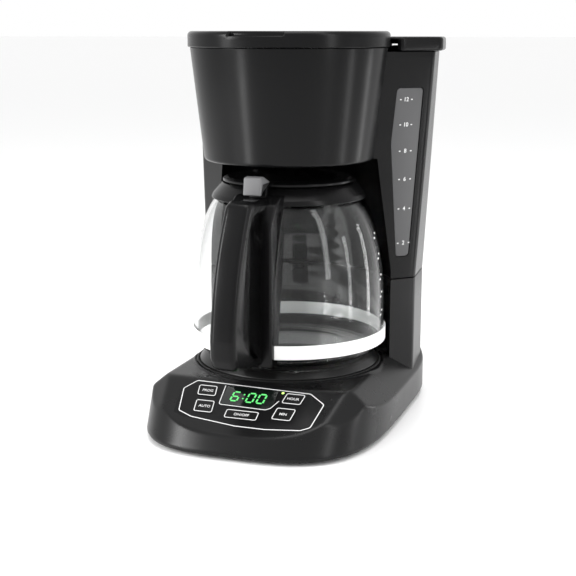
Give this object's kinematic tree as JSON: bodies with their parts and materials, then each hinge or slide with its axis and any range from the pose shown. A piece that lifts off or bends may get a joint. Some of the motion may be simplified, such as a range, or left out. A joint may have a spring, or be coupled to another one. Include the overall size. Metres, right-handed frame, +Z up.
{
  "type": "drip coffee maker",
  "caption": "Drip coffee maker with glass carafe on a warming plate, rear water tank with level window, cone brew head, hinged cover and sloped key panel.",
  "frame": {"origin": "middle of the bounding box in plan, at the height of the undersides of the feet", "axes": "+Z up, -Y towards the user (carafe handle and keys), +X to the user's right"},
  "size_m": [0.22, 0.2626, 0.312],
  "materials": {
    "housing_black": "glossy black moulding",
    "dark_plastic": "matt black moulding",
    "panel_plastic": "satin black panel",
    "key_plastic": "satin black keys",
    "lever_grey": "satin dark grey",
    "rubber_black": "soft rubber",
    "plate_enamel": "black non-stick coat",
    "aluminium_bare": "drawn tube",
    "steel": "plated steel",
    "band_steel": "polished band",
    "white_plastic": "natural white plastic",
    "silicone_hose": "translucent silicone",
    "tank_plastic": "smoked plastic",
    "window_clear": "smoked clear plastic",
    "lens_tint": "tinted clear lens",
    "glass_clear": "clear heat-proof glass",
    "circuit_board": "green board",
    "component_dark": "moulded parts",
    "fuse_ceramic": "ceramic body",
    "led_green": "tinted lens",
    "wire_white": "insulated wire"
  },
  "bodies": {
    "machine": {"base_housing": "housing_black", "bottom_cover": "dark_plastic", "feet": "rubber_black", "bottom_screws": "steel", "warming_plate": "plate_enamel", "plate_seal": "rubber_black", "heater_element": "aluminium_bare", "heater_bracket": "steel", "thermostat": "component_dark", "thermal_fuses": "fuse_ceramic", "inlet_hose": "silicone_hose", "outlet_hose": "silicone_hose", "hose_clamps": "steel", "check_valve_body": "white_plastic", "riser_tube": "white_plastic", "tower_housing": "housing_black", "rear_cover": "housing_black", "rear_screws": "steel", "water_tank": "tank_plastic", "tank_grommet": "rubber_black", "level_window": "window_clear", "brew_head": "housing_black", "head_screws": "steel", "riser_spout": "dark_plastic", "control_panel": "panel_plastic", "display_lens": "lens_tint", "display_module": "component_dark", "main_board": "circuit_board", "power_board": "circuit_board", "indicator_led": "led_green", "tact_switches": "component_dark", "cord_gland": "dark_plastic", "wiring": "wire_white", "hinge_pins": "steel"},
    "cover": {"cover": "housing_black", "water_channel": "dark_plastic", "shower_head": "steel", "cover_screws": "steel"},
    "basket": {"brew_basket": "dark_plastic", "valve_retainer": "dark_plastic", "valve_spring": "steel"},
    "bail": {"basket_bail": "steel"},
    "drip_valve": {"drip_valve": "dark_plastic", "valve_seal": "rubber_black"},
    "carafe": {"carafe_glass": "glass_clear", "carafe_collar": "housing_black", "carafe_handle": "housing_black", "carafe_band": "band_steel", "band_screw": "steel", "lid_hinge_pin": "steel"},
    "carafe_lid": {"carafe_lid": "housing_black", "thumb_lever": "lever_grey"},
    "check_ball": {"check_ball": "steel"},
    "button_prog": {"button_prog": "key_plastic"},
    "button_auto": {"button_auto": "key_plastic"},
    "button_on_off": {"button_on_off": "key_plastic"},
    "button_hour": {"button_hour": "key_plastic"},
    "button_min": {"button_min": "key_plastic"}
  },
  "joints": [
    {"name": "cover_hinge", "type": "hinge", "parent": "machine", "child": "cover", "pos_m": [0, 0.1273, 0.29605], "axis": [-1, 0, 0], "range_deg": [0, 95]},
    {"name": "basket_lift", "type": "slide", "parent": "machine", "child": "basket", "axis": [0, 0, 1], "range_m": [0, 0.006]},
    {"name": "bail_swing", "type": "hinge", "parent": "basket", "child": "bail", "pos_m": [0, 0.0057, 0.2833], "axis": [1, 0, 0], "range_deg": [0, 7]},
    {"name": "drip_valve_drop", "type": "slide", "parent": "basket", "child": "drip_valve", "axis": [0, 0, -1], "range_m": [0, 0.003], "deforming": ["valve_spring"]},
    {"name": "carafe_slide", "type": "slide", "parent": "machine", "child": "carafe", "axis": [0, -1, 0], "range_m": [0, 0.2]},
    {"name": "carafe_lid_hinge", "type": "hinge", "parent": "carafe", "child": "carafe_lid", "pos_m": [-0.00319, -0.05522, 0.1868], "axis": [0.9986, -0.0523, 0], "range_deg": [0, 3]},
    {"name": "check_ball_lift", "type": "slide", "parent": "machine", "child": "check_ball", "axis": [0, 0, 1], "range_m": [0, 0.0014]},
    {"name": "button_prog_press", "type": "slide", "parent": "machine", "child": "button_prog", "axis": [0, 0.4817, -0.8763], "range_m": [0, 0.0007], "stiffness_N_per_m": 400, "springref_m": -0.001},
    {"name": "button_auto_press", "type": "slide", "parent": "machine", "child": "button_auto", "axis": [0, 0.4817, -0.8763], "range_m": [0, 0.0007], "stiffness_N_per_m": 400, "springref_m": -0.001},
    {"name": "button_on_off_press", "type": "slide", "parent": "machine", "child": "button_on_off", "axis": [0, 0.4817, -0.8763], "range_m": [0, 0.0007], "stiffness_N_per_m": 400, "springref_m": -0.001},
    {"name": "button_hour_press", "type": "slide", "parent": "machine", "child": "button_hour", "axis": [0, 0.4817, -0.8763], "range_m": [0, 0.0007], "stiffness_N_per_m": 400, "springref_m": -0.001},
    {"name": "button_min_press", "type": "slide", "parent": "machine", "child": "button_min", "axis": [0, 0.4817, -0.8763], "range_m": [0, 0.0007], "stiffness_N_per_m": 400, "springref_m": -0.001}
  ],
  "couplings": [
    {"joint": "drip_valve_drop", "follows": "carafe_slide", "ratio": 0.015}
  ]
}
